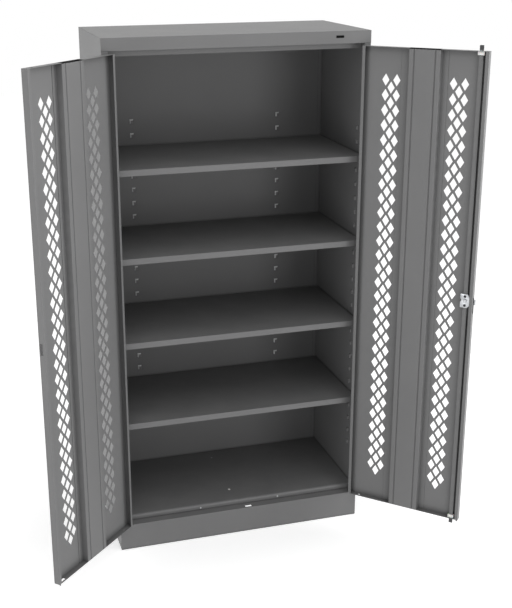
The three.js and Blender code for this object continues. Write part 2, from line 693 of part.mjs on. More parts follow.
// Rod pins: rivets with a head on each side of the cam and the rod.
function rivet() {
  const near = rodDepth[0] - FIT;
  const far = camFar + FIT;
  return turned(
    [
      [0, near - PIN_HEAD_HEIGHT],
      [PIN_HEAD, near - PIN_HEAD_HEIGHT],
      [PIN_HEAD, near],
      [PIN_SHANK, near],
      [PIN_SHANK, far],
      [PIN_HEAD, far],
      [PIN_SHANK, far + PIN_HEAD_HEIGHT],
      [0, far + PIN_HEAD_HEIGHT],
    ],
    SMALL_STEPS,
  );
}
for (const [name, way] of Object.entries({ upper_rod_pin: 1, lower_rod_pin: -1 })) {
  piece(name, rivet(), zinc, doorFrames.right).position.set(LATCH_S, 0, LATCH_Z + way * CAM_ARM);
}

// Tongue: a plate on the spindle that passes through the door's edge into the other door.
const TONGUE_HUB = 11;

function tongue() {
  const outline = new THREE.Shape();
  const start = Math.asin(TONGUE_ABOVE / TONGUE_HUB);
  outline.absarc(LATCH_S, LATCH_Z, TONGUE_HUB, start, (3 * Math.PI) / 2, false);
  outline.lineTo(LATCH_S, LATCH_Z - TONGUE_BELOW);
  outline.lineTo(LATCH_S + TONGUE_REACH, LATCH_Z - TONGUE_BELOW);
  outline.lineTo(LATCH_S + TONGUE_REACH, LATCH_Z + TONGUE_ABOVE);
  return prism(outline, "y", TONGUE_Y).subtract(squareHole(TONGUE_Y));
}
piece("latch_tongue", tongue(), zinc, doorFrames.right);

// Spindle: a square bar from the handle to the cam, with a round threaded end for its nut.
const THREAD_RADIUS = 3.4;
const NUT_SIDES = 6;
const NUT_RADIUS = 7;
const NUT_HEIGHT = 3.4;
const ESCUTCHEON_HEIGHT = 9;
const SOCKET_DEPTH = 13; // how far the spindle enters the handle's hub
const spindleFar = camFar + FIT;
const spindleNear = -ESCUTCHEON_HEIGHT - 2 * FIT - SOCKET_DEPTH;
const thread = prism(polygon(SMALL_STEPS, THREAD_RADIUS, [LATCH_S, LATCH_Z]), "y", [
  spindleFar - SPINDLE_SIDE / 2,
  spindleFar + FIT + NUT_HEIGHT,
]);
const bar = block(
  about(LATCH_S, SPINDLE_SIDE),
  [spindleNear, spindleFar],
  about(LATCH_Z, SPINDLE_SIDE),
);
piece("spindle", bar.add(thread), zinc, doorFrames.right);

const nutOutline = polygon(NUT_SIDES, NUT_RADIUS, [LATCH_S, LATCH_Z]);
nutOutline.holes.push(polygon(SMALL_STEPS, THREAD_RADIUS + FIT, [LATCH_S, LATCH_Z]));
const nutRun = [spindleFar + FIT, spindleFar + FIT + NUT_HEIGHT];
piece("spindle_nut", prism(nutOutline, "y", nutRun), zinc, doorFrames.right);

// Escutcheon: a domed plate on the outer skin that the handle turns on.
const ESCUTCHEON_RADIUS = 25;
const ESCUTCHEON_RIM = 3;
const HUB_RADIUS = 15;
const escutcheonTop = -FIT - ESCUTCHEON_HEIGHT;
const escutcheon = turned([
  [0, escutcheonTop],
  [HUB_RADIUS + ESCUTCHEON_RIM, escutcheonTop],
  [ESCUTCHEON_RADIUS - ESCUTCHEON_RIM, escutcheonTop + ESCUTCHEON_RIM],
  [ESCUTCHEON_RADIUS, -FIT - ESCUTCHEON_RIM],
  [ESCUTCHEON_RADIUS, -FIT],
  [0, -FIT],
]).subtract(
  prism(polygon(ROUND_STEPS, SPINDLE_HOLE_RADIUS), "y", [escutcheonTop - OVERRUN, OVERRUN]),
);
piece("handle_escutcheon", escutcheon, chrome, doorFrames.right).position.set(LATCH_S, 0, LATCH_Z);

// Handle: a turned hub with a lever that points down when the latch is closed. The hub's face
// holds the lock's plug.
const HUB_HEIGHT = 27;
const HUB_ROUND = 3;
const LEVER_LENGTH = 105;
const LEVER_ROOT = 24;
const LEVER_END = 17;
const LEVER_THICKNESS = 8;
const LEVER_ROUND = 2;
const PLUG_RADIUS = 6;
const PLUG_LENGTH = 9;
const PLUG_PROUD = 1;
const hubNear = escutcheonTop - FIT;
const hubFar = hubNear - HUB_HEIGHT;

function handle() {
  const hub = turned([
    [0, hubFar],
    [HUB_RADIUS - HUB_ROUND, hubFar],
    [HUB_RADIUS, hubFar + HUB_ROUND],
    [HUB_RADIUS, hubNear],
    [0, hubNear],
  ]);
  const outline = new THREE.Shape();
  const root = LEVER_ROOT / 2 - LEVER_ROUND;
  const end = LEVER_END / 2 - LEVER_ROUND;
  outline.moveTo(root, 0);
  outline.lineTo(-root, 0);
  outline.lineTo(-end, -LEVER_LENGTH + LEVER_END / 2);
  outline.absarc(0, -LEVER_LENGTH + LEVER_END / 2, end, Math.PI, 2 * Math.PI, false);
  const lever = new THREE.ExtrudeGeometry(outline, {
    depth: LEVER_THICKNESS,
    bevelThickness: LEVER_ROUND,
    bevelSize: LEVER_ROUND,
    bevelSegments: 2,
    curveSegments: SMALL_STEPS / 2,
  });
  lever.applyMatrix4(new THREE.Matrix4().makeBasis(X, Z, Y.clone().negate()));
  lever.translate(0, hubFar + HUB_ROUND + LEVER_THICKNESS + LEVER_ROUND, 0);
  const socket = SPINDLE_SIDE + 2 * FIT;
  const bore = prism(polygon(ROUND_STEPS, PLUG_RADIUS + FIT), "y", [
    hubFar - OVERRUN,
    hubFar + PLUG_LENGTH - PLUG_PROUD + FIT,
  ]);
  return hub
    .add(solid(lever))
    .subtract(block(about(0, socket), [spindleNear - FIT, hubNear + OVERRUN], about(0, socket)))
    .subtract(bore);
}
piece("door_handle", handle(), chrome, doorFrames.right).position.set(LATCH_S, 0, LATCH_Z);

// Lock plug: turns in the hub's face, with a keyway across it.
const KEYWAY_WIDTH = 1.6;
const KEYWAY_LENGTH = 7;
const KEYWAY_DEPTH = 4;
const plugFace = hubFar - PLUG_PROUD;
const lockPlug = prism(polygon(ROUND_STEPS, PLUG_RADIUS), "y", [plugFace, plugFace + PLUG_LENGTH])
  .subtract(
    block(
      about(0, KEYWAY_WIDTH),
      [plugFace - OVERRUN, plugFace + KEYWAY_DEPTH],
      about(0, KEYWAY_LENGTH),
    ),
  );
piece("lock_plug", lockPlug, zinc, doorFrames.right).position.set(LATCH_S, 0, LATCH_Z);

export default cabinet;
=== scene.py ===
import math
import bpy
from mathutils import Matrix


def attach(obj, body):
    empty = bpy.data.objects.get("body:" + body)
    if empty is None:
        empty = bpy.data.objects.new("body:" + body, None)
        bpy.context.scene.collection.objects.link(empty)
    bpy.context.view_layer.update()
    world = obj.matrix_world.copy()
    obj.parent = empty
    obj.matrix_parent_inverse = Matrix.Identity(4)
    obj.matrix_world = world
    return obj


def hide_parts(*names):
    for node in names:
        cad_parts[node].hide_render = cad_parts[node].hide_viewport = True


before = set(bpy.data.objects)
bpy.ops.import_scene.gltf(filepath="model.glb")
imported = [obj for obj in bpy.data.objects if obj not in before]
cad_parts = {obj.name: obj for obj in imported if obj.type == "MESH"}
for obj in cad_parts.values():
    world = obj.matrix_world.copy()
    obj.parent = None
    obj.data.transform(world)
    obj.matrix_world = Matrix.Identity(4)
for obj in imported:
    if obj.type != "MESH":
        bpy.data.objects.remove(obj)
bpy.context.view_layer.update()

from types import SimpleNamespace

import bmesh
import bpy
from mathutils import Euler, Matrix, Vector

bpy.ops.object.select_all(action="DESELECT")

# The body's sheets are cold rolled steel 0.9 mm thick, folded on a press brake and spot welded at
# their flanges. The welded body is degreased and powder coated grey, a coat that dries with a fine
# orange peel, runs thin on cut edges and takes on a little dust. Its colour also carries a painted
# highlight along the edges and painted shade in inside corners.
coat_grey = (0.152, 0.152, 0.153, 1)
coat_drift = 0.045
# Thin coat and a painted highlight: sharp edges of the coat are lightened towards this grey.
thin_coat_highlight_grey = (0.225, 0.227, 0.230, 1)
coat_rough = (0.40, 0.50)
coat_shine = 0.28
peel_scale = 420
peel_depth = 0.00012
peel_strength = 0.35
cloud_scale = 2.6
edge_reach = 0.0011
edge_patches = 60
edge_turned = (0.995, 0.86)
# Painted shade: ambient occlusion darkens inside corners towards this grey.
painted_corner_shade_grey = (0.048, 0.048, 0.048, 1)
corner_shade_reach = 0.009
dust_grey = (0.235, 0.233, 0.228, 1)
dust_amount = 0.22
dust_scale = 9
dust_upward = (0.6, 0.95)


def feed(tree, entry, value):
    """Links a socket to a node's entry, or sets the entry to a value."""
    if isinstance(value, bpy.types.NodeSocket):
        tree.links.new(value, entry)
    else:
        entry.default_value = value


def add_node(tree, kind, **settings):
    """A node, with its own settings in small letters and its entries with a capital."""
    node = tree.nodes.new(kind)
    for key, value in settings.items():
        if key.islower():
            setattr(node, key, value)
        else:
            feed(tree, node.inputs[key.replace("_", " ")], value)
    return node


def work_out(tree, operation, *values):
    """The result of one sum on values and sockets."""
    step = add_node(tree, "ShaderNodeMath", operation=operation)
    for entry, value in zip(step.inputs, values):
        feed(tree, entry, value)
    return step.outputs["Value"]


def map_share(tree, value, low, high, from_low=0.3, from_high=0.7):
    """Spreads a range of a value, by default the one that noise keeps to, over another range."""
    spread = add_node(
        tree,
        "ShaderNodeMapRange",
        Value=value,
        From_Min=from_low,
        From_Max=from_high,
        To_Min=low,
        To_Max=high,
    )
    return spread.outputs["Result"]


def add_noise(tree, scale, detail, roughness=0.5):
    """Noise on the piece's own coordinates, so that it stays with the piece."""
    place = tree.nodes.new("ShaderNodeTexCoord").outputs["Object"]
    noise = add_node(
        tree, "ShaderNodeTexNoise", Vector=place, Scale=scale, Detail=detail, Roughness=roughness
    )
    return noise.outputs["Fac"]


def blend_colours(tree, share, first, second):
    """A colour between two, each a colour or a socket, by a share that is a socket."""
    mix = add_node(tree, "ShaderNodeMix", data_type="RGBA", Factor=share)
    entries = [entry for entry in mix.inputs if entry.type == "RGBA"]
    feed(tree, entries[0], first)
    feed(tree, entries[1], second)
    return next(result for result in mix.outputs if result.type == "RGBA")


def shade_tone(colour, factor):
    return tuple(channel * factor for channel in colour[:3]) + (1,)


def build_group(name, inputs, outputs):
    """An effect with numbers for its inputs, each with its usual value, and its outputs' kinds."""
    group = bpy.data.node_groups.new(name, "ShaderNodeTree")
    for label, value in inputs.items():
        entry = group.interface.new_socket(label, in_out="INPUT", socket_type="NodeSocketFloat")
        entry.default_value = value
    for label, kind in outputs.items():
        group.interface.new_socket(label, in_out="OUTPUT", socket_type="NodeSocket" + kind)
    given = group.nodes.new("NodeGroupInput").outputs
    return group, given, group.nodes.new("NodeGroupOutput").inputs


def build_peel():
    """The grain and the drifting shade of a sprayed, plated or moulded skin."""
    group, given, result = build_group(
        "orange peel",
        {"Scale": peel_scale, "Cloud scale": cloud_scale},
        {"Grain": "Float", "Cloud": "Float"},
    )
    grain = add_noise(group, given["Scale"], detail=2.0, roughness=0.55)
    cloud = add_noise(group, given["Cloud scale"], detail=4.0, roughness=0.6)
    feed(group, result["Grain"], grain)
    feed(group, result["Cloud"], cloud)
    return group


def build_edges():
    """1 on sharp edges and 0 away from them, broken up by noise, and the normal rounded there."""
    group, given, result = build_group(
        "edge wear and highlight",
        {"Reach": edge_reach, "Break up": edge_patches},
        {"Edge": "Float", "Rounded": "Vector"},
    )
    rounded = add_node(group, "ShaderNodeBevel", samples=4, Radius=given["Reach"]).outputs["Normal"]
    facing = add_node(group, "ShaderNodeVectorMath", operation="DOT_PRODUCT")
    feed(group, facing.inputs[0], rounded)
    feed(group, facing.inputs[1], group.nodes.new("ShaderNodeNewGeometry").outputs["Normal"])
    turned = map_share(group, facing.outputs["Value"], 0, 1, *edge_turned)
    noise = add_noise(group, given["Break up"], detail=3.0)
    patches = map_share(group, noise, 0.25, 1, from_low=0.38, from_high=0.62)
    feed(group, result["Edge"], work_out(group, "MULTIPLY", turned, patches))
    feed(group, result["Rounded"], rounded)
    return group


def build_corner_shade():
    """1 on open faces, falling to 0 deep in inside corners, where the coat gets painted shade."""
    group, given, result = build_group("inside corners", {"Reach": corner_shade_reach}, {"Unshaded": "Float"})
    around = add_node(group, "ShaderNodeAmbientOcclusion", samples=4, Distance=given["Reach"])
    feed(group, result["Unshaded"], around.outputs["AO"])
    return group


def build_dust():
    """Up to a given amount where a face looks up and dust has settled, and 0 elsewhere."""
    group, given, result = build_group("settled dust", {"Amount": dust_amount}, {"Dust": "Float"})
    normal = group.nodes.new("ShaderNodeNewGeometry").outputs["Normal"]
    height = add_node(group, "ShaderNodeSeparateXYZ", Vector=normal).outputs["Z"]
    upward = map_share(group, height, 0, 1, *dust_upward)
    noise = add_noise(group, dust_scale, detail=5.0, roughness=0.65)
    patches = map_share(group, noise, 0, 1, from_low=0.35)
    settled = work_out(group, "MULTIPLY", upward, patches)
    feed(group, result["Dust"], work_out(group, "MULTIPLY", settled, given["Amount"]))
    return group


peel_group = build_peel()
edge_group = build_edges()
corner_shade_group = build_corner_shade()
dust_group = build_dust()


def place_group(tree, group, **values):
    return add_node(tree, "ShaderNodeGroup", node_tree=group, **values).outputs


def start_material(name, **constants):
    """A material, its nodes and its shader, with constants set on the shader's own sockets."""
    material = bpy.data.materials.new(name)
    material.use_nodes = True
    shader = material.node_tree.nodes["Principled BSDF"]
    for key, value in constants.items():
        shader.inputs[key.replace("_", " ")].default_value = value
    return SimpleNamespace(material=material, tree=material.node_tree, shader=shader)


def start_finish(name, peel, clouds, reach, patches, **constants):
    """A material with a skin, and with a mask on its edges in patches out to a reach, for wear and
    for painted highlights.
    """
    finish = start_material(name, **constants)
    finish.skin = place_group(finish.tree, peel_group, Scale=peel, Cloud_scale=clouds)
    finish.edge = place_group(finish.tree, edge_group, Reach=reach, Break_up=patches)
    return finish


def cloud_over(finish, first, second):
    """A colour that drifts between two over the piece."""
    cloud = map_share(finish.tree, finish.skin["Cloud"], 0, 1)
    return blend_colours(finish.tree, cloud, first, second)


# Edges blend towards a second colour: wear on the metals, and thin coat with a painted highlight on
# the powder coat.
def wear_and_highlight_edges(finish, colour, marked):
    return blend_colours(finish.tree, finish.edge["Edge"], colour, marked)


def close_finish(finish, colour, rough, depth, strength, rough_by="Grain"):
    """Feeds the shader its colour, a range of roughness, and the grain over rounded edges."""
    tree = finish.tree
    entries = finish.shader.inputs
    bump = add_node(
        tree,
        "ShaderNodeBump",
        Strength=strength,
        Distance=depth,
        Height=finish.skin["Grain"],
        Normal=finish.edge["Rounded"],
    )
    feed(tree, entries["Base Color"], colour)
    feed(tree, entries["Roughness"], map_share(tree, finish.skin[rough_by], *rough))
    feed(tree, entries["Normal"], bump.outputs["Normal"])
    return finish.material


def start_coat(name, clouds, reach=edge_reach, patches=edge_patches):
    return start_finish(name, peel_scale, clouds, reach, patches, Specular_IOR_Level=coat_shine)


def lay_grey(coat):
    """The coat's grey as it drifts a little, lighter along the edges, where it runs thin and
    carries a painted highlight.
    """
    dark = shade_tone(coat_grey, 1 - coat_drift)
    light = shade_tone(coat_grey, 1 + coat_drift)
    return wear_and_highlight_edges(coat, cloud_over(coat, dark, light), thin_coat_highlight_grey)


def lay_powder(name, reach):
    """A coat and its colour, with settled dust, and painted shade in inside corners out to a reach.
    """
    coat = start_coat(name, cloud_scale)
    dust = place_group(coat.tree, dust_group, Amount=dust_amount)["Dust"]
    clear = place_group(coat.tree, corner_shade_group, Reach=reach)["Unshaded"]
    dusty = blend_colours(coat.tree, dust, lay_grey(coat), dust_grey)
    return coat, blend_colours(coat.tree, clear, painted_corner_shade_grey, dusty)


def close_coat(coat, colour):
    return close_finish(coat, colour, coat_rough, peel_depth, peel_strength)


def finish_node(name, material):
    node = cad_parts[name]
    node.data.materials.clear()
    node.data.materials.append(material)


powder_coat = close_coat(*lay_powder("grey powder coat", corner_shade_reach))
for name in ("side_panel_left", "side_panel_right", "back_panel", "top_panel", "kick_plate"):
    finish_node(name, powder_coat)

# The slots for the shelf clips are lanced, so each leaves a small hood of the sheet pushed into
# the cabinet, closed at its top and sides. On the back panel the hoods' outer slopes that face up
# or to the left carry a painted highlight, a pale grey in patches. The slots that hold clips have
# had their hoods bent away.
slot_top = 1.486
slot_pitch = 0.0508
slot_count = 25
clipped_slots = (2, 8, 14, 20)
back_slot_across = 0.280
side_slot_deep = 0.095
hood_width = 0.0145
hood_height = 0.0160
hood_rise = 0.0040
hood_lift = 0.0018
hood_wall = 0.0006
hood_edge = 0.0008
hood_crown_shares = (0.58, 1, 0.74)
hood_droop_share = 0.13
# Painted highlight: the pale grey laid on the hoods' slopes that face up or left.
painted_highlight_grey = (0.82, 0.82, 0.825, 1)
hood_cloud_tone = 0.95
highlight_outward = 0.05
highlight_slope = 0.25
squarely = 0.9


def node_box(name):
    """The lowest and the highest corner of one of the frame's solids."""
    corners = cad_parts[name].bound_box
    return Vector(map(min, zip(*corners))), Vector(map(max, zip(*corners)))


def make_highlit_hood_coat():
    """The powder coat with a painted highlight in patches where the piece's own attribute says so.
    """
    coat = start_coat("hood coat with painted highlight", clouds=90, reach=0.0005, patches=300)
    cloud = map_share(coat.tree, coat.skin["Cloud"], 0.7, 1)
    base = blend_colours(coat.tree, cloud, shade_tone(coat_grey, hood_cloud_tone), coat_grey)
    painted_highlight = add_node(coat.tree, "ShaderNodeAttribute", attribute_name="painted_highlight").outputs["Fac"]
    patchy_highlight = work_out(coat.tree, "MULTIPLY", painted_highlight, cloud)
    thin = wear_and_highlight_edges(coat, base, thin_coat_highlight_grey)
    return close_coat(coat, blend_colours(coat.tree, patchy_highlight, thin, painted_highlight_grey))


def open_piece(name):
    """Names the primitive just added, writes its place into its mesh and opens it for editing."""
    piece = bpy.context.object
    piece.name = name
    piece.data.name = name
    bpy.ops.object.transform_apply(location=True, rotation=True, scale=True)
    bpy.ops.object.mode_set(mode="EDIT")
    bpy.ops.mesh.select_mode(type="FACE")
    return piece


def open_block(name, middle, size):
    bpy.ops.mesh.primitive_cube_add(size=1, location=middle, scale=size)
    return open_piece(name)


def pick_faces(test):
    """Selects the faces whose middle and normal pass a test, and no others."""
    mesh = bpy.context.object.data
    bpy.ops.mesh.select_mode(type="FACE")
    bpy.ops.mesh.select_all(action="DESELECT")
    shape = bmesh.from_edit_mesh(mesh)
    for face in shape.faces:
        if test(face.calc_center_median(), face.normal):
            face.select_set(True)
    bmesh.update_edit_mesh(mesh)


def choose(*pieces):
    bpy.ops.object.select_all(action="DESELECT")
    for piece in pieces:
        piece.select_set(True)
    bpy.context.view_layer.objects.active = pieces[0]


def apply_modifier(piece, kind, **settings):
    choose(piece)
    modifier = piece.modifiers.new(kind.lower(), kind)
    for key, value in settings.items():
        setattr(modifier, key, value)
    bpy.ops.object.modifier_apply(modifier=modifier.name)


def copy_piece(piece, name):
    choose(piece)
    bpy.ops.object.duplicate(linked=False)
    twin = bpy.context.object
    twin.name = name
    twin.data.name = name
    return twin


def settle(piece, place):
    """Moves a piece to its place, writes that into its mesh, and turns its faces outwards."""
    choose(piece)
    piece.matrix_world = place
    bpy.ops.object.transform_apply(location=True, rotation=True, scale=True)
    shape = bmesh.new()
    shape.from_mesh(piece.data)
    inside_out = shape.calc_volume(signed=True) < 0
    shape.free()
    if inside_out:
        bpy.ops.object.mode_set(mode="EDIT")
        bpy.ops.mesh.select_all(action="SELECT")
        bpy.ops.mesh.flip_normals()
        bpy.ops.object.mode_set(mode="OBJECT")


def join_pieces(pieces):
    choose(*pieces)
    bpy.ops.object.join()
    return pieces[0]


def dress(piece, material, slot, body, *nodes, angle=35):
    """Gives a finished piece its material, its smooth faces and its place in the frame."""
    choose(piece)
    piece.data.materials.clear()
    piece.data.materials.append(material)
    bpy.ops.object.shade_smooth_by_angle(angle=math.radians(angle))
    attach(piece, body)
    if nodes:
        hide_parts(*nodes)


hood = open_block("slot_hood", (0, -hood_rise / 2, 0), (hood_width, hood_rise, hood_height))
pick_faces(lambda middle, normal: normal.y > squarely or normal.z < -squarely)
bpy.ops.mesh.delete(type="FACE")
pick_faces(lambda middle, normal: normal.y < -squarely)
bpy.ops.transform.resize(value=hood_crown_shares)
bpy.ops.transform.translate(value=(0, 0, -hood_droop_share * hood_height))
bpy.ops.object.mode_set(mode="OBJECT")
apply_modifier(hood, "BEVEL", width=hood_edge, segments=2)
apply_modifier(hood, "SOLIDIFY", thickness=hood_wall, offset=-1)
# Marks the hoods' outer faces that look up or to the left, which get the painted highlight.
highlight_layer = hood.data.attributes.new("painted_highlight", "FLOAT", "FACE")
for number, face in enumerate(hood.data.polygons):
    outer = face.center.y < 0 and face.normal.y < -highlight_outward
    faces_up_or_left = face.normal.z > highlight_slope or face.normal.x < -highlight_slope
    highlight_layer.data[number].value = 1 if outer and faces_up_or_left else 0

highlit_hood_coat = make_highlit_hood_coat()
back_low, back_high = node_box("back_panel")
sheet_thick = back_high.y - back_low.y
inner_side = back_high.x - sheet_thick
hood_columns = {
    "side_slot_hoods_left": (-inner_side, side_slot_deep, 90),
    "side_slot_hoods_right": (inner_side, side_slot_deep, -90),
    "back_slot_hoods_left": (-back_slot_across, back_low.y, 0),
    "back_slot_hoods_right": (back_slot_across, back_low.y, 0),
}
for name, (across, deep, turn) in hood_columns.items():
    column = []
    for number in range(slot_count):
        if number not in clipped_slots:
            height = slot_top - number * slot_pitch + hood_lift
            twin = copy_piece(hood, name)
            spot = Matrix.Translation((across, deep, height))
            settle(twin, spot @ Matrix.Rotation(math.radians(turn), 4, "Z"))
            column.append(twin)
    # Only the back hoods carry the painted highlight.
    coat = powder_coat if name.startswith("side") else highlit_hood_coat
    dress(join_pieces(column), coat, "painted_steel", "body")
bpy.data.objects.remove(hood)

# The bottom shelf is fixed: its front is riveted to the kick plate's flange behind it, and one
# more rivet near its back holds a stiffener below. They are blind rivets of bright plated steel.
shelf_low, shelf_high = node_box("bottom_shelf")
rivet_spots = {
    "front_rivet_left": ((-0.1490, shelf_low.y, 0.1050), 90),
    "front_rivet_right": ((0.1525, shelf_low.y, 0.1060), 90),
    "shelf_rivet_back": ((-0.0090, 0.395, shelf_high.z), 0),
}
rivet_light = (0.60, 0.61, 0.62, 1)
rivet_dull = (0.480, 0.488, 0.496, 1)
rivet_radius = 0.0032
rivet_height = 0.0013
stem_radius = 0.0011
rivet_rings = [
    (rivet_radius, 0.0),
    (rivet_radius, 0.0003),
    (rivet_radius * 0.88, 0.0008),
    (rivet_radius * 0.62, 0.0012),
    (stem_radius * 1.2, rivet_height),
    (stem_radius, rivet_height),
    (stem_radius, 0.0006),
]


def make_rivet_metal():
    metal = start_finish(
        "bright rivet", peel=2400, clouds=300, reach=0.0003, patches=900, Metallic=1.0
    )
    cloudy = cloud_over(metal, rivet_light, rivet_dull)
    return close_finish(metal, cloudy, rough=(0.32, 0.48), depth=0.00002, strength=0.4)


def raise_rings(name, rings, sides):
    """A turned solid round the Z axis, raised ring by ring from (radius, height) pairs."""
    radius, height = rings[0]
    bpy.ops.mesh.primitive_circle_add(
        vertices=sides, radius=radius, fill_type="NGON", location=(0, 0, height)
    )
    piece = open_piece(name)
    bpy.ops.mesh.select_all(action="SELECT")
    for next_radius, next_height in rings[1:]:
        step = (0, 0, next_height - height)
        share = next_radius / radius
        bpy.ops.mesh.extrude_region_move(TRANSFORM_OT_translate={"value": step})
        bpy.ops.transform.resize(value=(share, share, 1), center_override=(0, 0, next_height))
        radius = next_radius
        height = next_height
    bpy.ops.mesh.select_all(action="SELECT")
    bpy.ops.mesh.normals_make_consistent(inside=False)
    bpy.ops.object.mode_set(mode="OBJECT")
    return piece


finish_node("bottom_shelf", powder_coat)
rivet_metal = make_rivet_metal()
rivet = raise_rings("rivet", rivet_rings, sides=24)
for name, (spot, turn) in rivet_spots.items():
    twin = copy_piece(rivet, name)
    settle(twin, Matrix.Translation(spot) @ Matrix.Rotation(math.radians(turn), 4, "X"))
    dress(twin, rivet_metal, "zinc_steel", "body")
bpy.data.objects.remove(rivet)

# The hole in the middle of the bottom shelf, by which the sheet hangs while it is coated, is closed
# with a white nylon plug: a low domed head with a thin rim.
nylon_white = (0.80, 0.80, 0.78, 1)
nylon_shade = (0.744, 0.744, 0.7254, 1)
plug_spot = (-0.0140, 0.121, shelf_high.z)
plug_radius = 0.0048
plug_rings = [
    (plug_radius, 0.0),
    (plug_radius, 0.0006),
    (plug_radius * 0.94, 0.0009),
    (plug_radius * 0.80, 0.0009),
    (plug_radius * 0.72, 0.0012),
    (plug_radius * 0.45, 0.0016),
    (plug_radius * 0.15, 0.0017),
]


def make_nylon():
    """Natural nylon, into which the light sinks a little."""
    moulding = start_finish(
        "natural nylon",
        peel=1800,
        clouds=60,
        reach=0.0004,
        patches=300,
        IOR=1.53,
        Subsurface_Weight=0.12,
        Subsurface_Scale=0.002,
    )
    cloudy = cloud_over(moulding, nylon_white, nylon_shade)
    return close_finish(moulding, cloudy, rough=(0.42, 0.55), depth=0.00003, strength=0.5)


nylon = make_nylon()
shelf_plug = raise_rings("shelf_hole_plug", plug_rings, sides=32)
settle(shelf_plug, Matrix.Translation(plug_spot))
dress(shelf_plug, nylon, "nylon", "body")

# A small pressed steel plate, painted black, is stuck on the header near its right end. Its edges
# are raised round a bare field.
plate_black = (0.003, 0.003, 0.003, 1)
plate_cloud = (0.0045, 0.0045, 0.0045, 1)
plate_worn = (0.012, 0.012, 0.012, 1)
plate_spot = (0.3455, -0.0004, 1.8103)
plate_size = (0.0275, 0.0008, 0.0078)
plate_corner = 0.0012
plate_rim = 0.0006
plate_sunk = 0.0003
plate_edge = 0.0001


def pick_edges(test):
    """Selects the edges whose middle and direction pass a test, and no others."""
    mesh = bpy.context.object.data
    bpy.ops.mesh.select_mode(type="EDGE")
    bpy.ops.mesh.select_all(action="DESELECT")
    shape = bmesh.from_edit_mesh(mesh)
    for edge in shape.edges:
        start, end = edge.verts[0].co, edge.verts[1].co
        if test((start + end) / 2, (end - start).normalized()):
            edge.select_set(True)
    bmesh.update_edit_mesh(mesh)


def make_black_plate():
    metal = start_finish(
        "black plate", peel=3000, clouds=120, reach=0.0003, patches=400, Specular_IOR_Level=0.05
    )
    marked = wear_and_highlight_edges(metal, cloud_over(metal, plate_black, plate_cloud), plate_worn)
    return close_finish(metal, marked, rough=(0.50, 0.62), depth=0.00001, strength=0.4)


plate = open_block("header_plate", plate_spot, plate_size)
pick_edges(lambda middle, way: abs(way.y) > squarely)
bpy.ops.mesh.bevel(offset=plate_corner, segments=4, affect="EDGES")
pick_faces(lambda middle, normal: normal.y < -squarely)
bpy.ops.mesh.inset(thickness=plate_rim)
bpy.ops.transform.translate(value=(0, plate_sunk, 0))
bpy.ops.object.mode_set(mode="OBJECT")
apply_modifier(plate, "BEVEL", width=plate_edge, segments=2)
dress(plate, make_black_plate(), "painted_steel", "body")

# The four adjustable shelves are pans of the same sheet with a lip folded all round, and their
# corners are spot welded. They take the same powder coat.
for name in ("shelf_1", "shelf_2", "shelf_3", "shelf_4"):
    finish_node(name, powder_coat)

# The shelf clips are strips of spring steel, blanked, bent to an L with a lug that snaps into a
# slot, and zinc plated. Plating is bright with a faint cloudy bloom.
zinc_light = (0.52, 0.53, 0.54, 1)
zinc_dull = (0.36, 0.37, 0.39, 1)
zinc_worn = (0.598, 0.6095, 0.621, 1)


def make_zinc():
    """Zinc plate with a bloom, which is darker and also duller."""
    plating = start_finish(
        "bright zinc plate", peel=900, clouds=45, reach=0.0006, patches=300, Metallic=1.0
    )
    marked = wear_and_highlight_edges(plating, cloud_over(plating, zinc_light, zinc_dull), zinc_worn)
    return close_finish(
        plating, marked, rough=(0.28, 0.46), depth=0.00004, strength=0.4, rough_by="Cloud"
    )


zinc = make_zinc()
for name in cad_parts:
    if name.startswith("shelf_clip_"):
        finish_node(name, zinc)

# The two door pans are folded from the same sheet after their two strips of diamonds have been
# punched. A stiffener with two pressed grooves is spot welded to the inside of each before it is
# coated. The hollow behind the stiffener is painted near black, a painted shade.
door_open = 135
# The painted corner shade reaches further on the doors.
door_corner_shade_reach = 0.024
# Painted shade: the near-black laid in the hollow behind each stiffener.
hollow_painted_shade = (0.008, 0.008, 0.008, 1)
hollow_along = (0.5274, 0.0570)
hollow_deep = (0.3009, 0.0013)


def make_pan_coat():
    """The powder coat with painted shade in the hollow, which has a middle and a half width along
    and across an open door. Both doors are measured as the right one."""
    coat, colour = lay_powder("door pan powder coat", door_corner_shade_reach)
    tree = coat.tree
    spot = tree.nodes.new("ShaderNodeTexCoord").outputs["Object"]
    parts = add_node(tree, "ShaderNodeSeparateXYZ", Vector=spot).outputs
    outward = work_out(tree, "ABSOLUTE", parts["X"])
    either = add_node(tree, "ShaderNodeCombineXYZ", X=outward, Y=parts["Y"]).outputs["Vector"]
    turn = (0, 0, math.radians(180 - door_open))
    turned = add_node(tree, "ShaderNodeMapping", Vector=either, Rotation=turn).outputs["Vector"]
    ways = add_node(tree, "ShaderNodeSeparateXYZ", Vector=turned).outputs
    along = work_out(tree, "COMPARE", ways["X"], *hollow_along)
    deep = work_out(tree, "COMPARE", ways["Y"], *hollow_deep)
    hollow_shade = work_out(tree, "MULTIPLY", along, deep)
    return close_coat(coat, blend_colours(tree, hollow_shade, colour, hollow_painted_shade))


pan_coat = make_pan_coat()
stiffener_coat = close_coat(*lay_powder("stiffener powder coat", door_corner_shade_reach))
for side in ("left", "right"):
    finish_node("door_pan_" + side, pan_coat)
    finish_node("door_stiffener_" + side, stiffener_coat)

